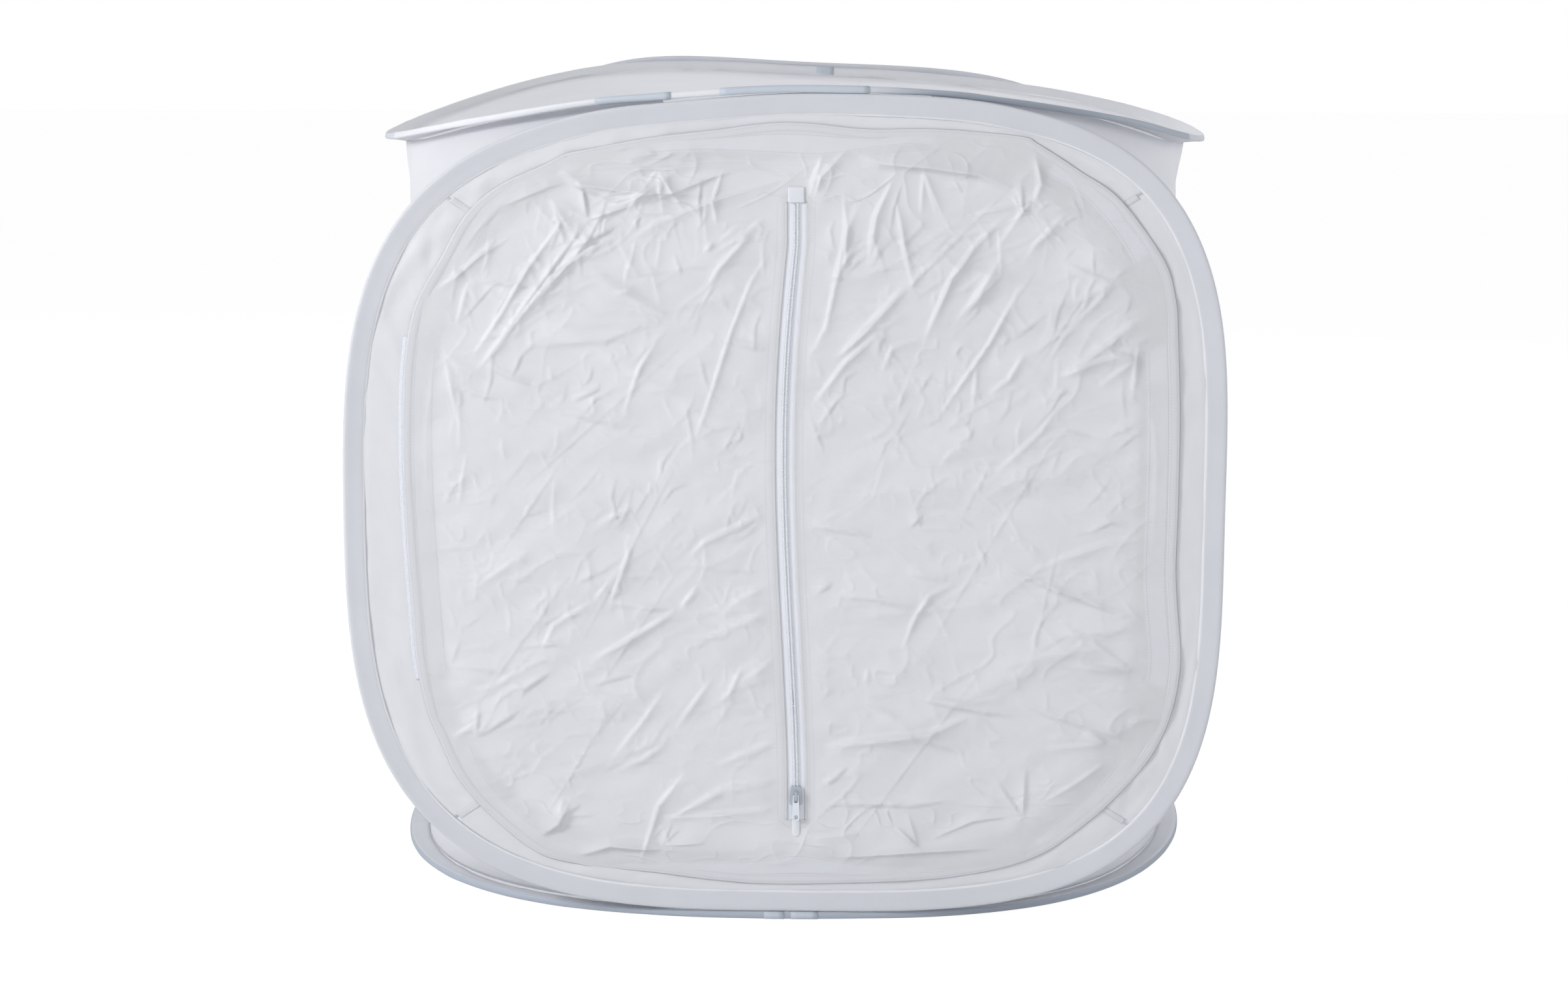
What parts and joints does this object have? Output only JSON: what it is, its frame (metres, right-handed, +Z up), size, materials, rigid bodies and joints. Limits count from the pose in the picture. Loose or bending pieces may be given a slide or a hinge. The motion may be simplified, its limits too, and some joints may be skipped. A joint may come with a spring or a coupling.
{
  "type": "light tent cube",
  "caption": "Pop-up light tent of white diffusion fabric on sprung steel hoops, with a zipped front cover held by hook and loop tape",
  "frame": {"origin": "on the floor under the middle of the tent, at the mount base", "axes": "+X to the right seen from the front, -Y out of the front opening, +Z up"},
  "size_m": [0.8114, 0.8063, 0.7638],
  "materials": {
    "white_diffusion_fabric": "thin white diffusion fabric",
    "white_channel_fabric": "white woven edge tape",
    "white_patch_fabric": "white woven patch",
    "spring_steel": "flat spring steel",
    "plated_ferrule": "zinc-plated steel",
    "white_loop_tape": "woven loop tape",
    "white_hook_tape": "woven hook tape",
    "white_zip_tape": "woven zip tape",
    "white_nylon_coil": "moulded nylon coil",
    "pale_zinc_slider": "painted zinc casting"
  },
  "bodies": {
    "base": {"bottom_channel": "white_channel_fabric", "bottom_wire": "spring_steel", "bottom_ferrule": "plated_ferrule", "bottom_panel": "white_diffusion_fabric", "left_side_panel": "white_diffusion_fabric", "right_side_panel": "white_diffusion_fabric", "bottom_left_patch": "white_patch_fabric", "bottom_right_patch": "white_patch_fabric"},
    "front": {"front_channel": "white_channel_fabric", "front_wire": "spring_steel", "front_ferrule": "plated_ferrule", "flange_top": "white_diffusion_fabric", "flange_bottom": "white_diffusion_fabric", "flange_left": "white_diffusion_fabric", "flange_right": "white_diffusion_fabric", "flange_seam_top_left": "white_channel_fabric", "flange_seam_top_right": "white_channel_fabric", "flange_seam_bottom_left": "white_channel_fabric", "flange_seam_bottom_right": "white_channel_fabric", "loop_strip_top": "white_loop_tape", "loop_strip_bottom": "white_loop_tape", "loop_strip_left": "white_loop_tape", "loop_strip_right": "white_loop_tape", "loop_strip_top_left": "white_loop_tape", "loop_strip_top_right": "white_loop_tape", "loop_strip_bottom_left": "white_loop_tape", "loop_strip_bottom_right": "white_loop_tape"},
    "back": {"back_channel": "white_channel_fabric", "back_wire": "spring_steel", "back_ferrule": "plated_ferrule", "back_panel": "white_diffusion_fabric"},
    "top": {"top_channel": "white_channel_fabric", "top_wire": "spring_steel", "top_ferrule": "plated_ferrule", "top_panel": "white_diffusion_fabric", "top_front_left_patch": "white_patch_fabric", "top_front_middle_patch": "white_patch_fabric", "top_back_patch": "white_patch_fabric"},
    "cover": {"front_cover": "white_diffusion_fabric", "cover_binding": "white_channel_fabric", "hook_strip_top": "white_hook_tape", "hook_strip_bottom": "white_hook_tape", "hook_strip_left": "white_hook_tape", "hook_strip_right": "white_hook_tape", "hook_strip_top_left": "white_hook_tape", "hook_strip_top_right": "white_hook_tape", "hook_strip_bottom_left": "white_hook_tape", "hook_strip_bottom_right": "white_hook_tape", "zip_tape_left": "white_zip_tape", "zip_tape_right": "white_zip_tape", "zip_coil_left": "white_nylon_coil", "zip_coil_right": "white_nylon_coil", "zip_top_tab": "white_zip_tape", "zip_bottom_tongue": "white_zip_tape"},
    "zip_slider": {"zip_slider": "pale_zinc_slider"},
    "zip_pull": {"zip_pull": "pale_zinc_slider"}
  },
  "joints": [
    {"name": "front_fold", "type": "hinge", "parent": "base", "child": "front", "pos_m": [0, -0.391, 0.0095], "axis": [1, 0, 0], "range_deg": [-80, 0], "deforming": ["left_side_panel", "right_side_panel"]},
    {"name": "back_fold", "type": "hinge", "parent": "base", "child": "back", "pos_m": [0, 0.4, 0.0095], "axis": [1, 0, 0], "range_deg": [-80, 0]},
    {"name": "top_level", "type": "hinge", "parent": "back", "child": "top", "pos_m": [0, 0.391, 0.7344], "axis": [1, 0, 0], "range_deg": [0, 80]},
    {"name": "cover_peel", "type": "hinge", "parent": "front", "child": "cover", "pos_m": [0.006, -0.39985, 0.0327], "axis": [1, 0, 0], "range_deg": [0, 90]},
    {"name": "zip_travel", "type": "slide", "parent": "cover", "child": "zip_slider", "axis": [0, 0, 1], "range_m": [0, 0.52]},
    {"name": "pull_swing", "type": "hinge", "parent": "zip_slider", "child": "zip_pull", "pos_m": [0.011, -0.40305, 0.119], "axis": [-1, 0, 0], "range_deg": [0, 160]}
  ],
  "couplings": [
    {"joint": "back_fold", "follows": "front_fold", "ratio": 1},
    {"joint": "top_level", "follows": "front_fold", "ratio": -1}
  ]
}
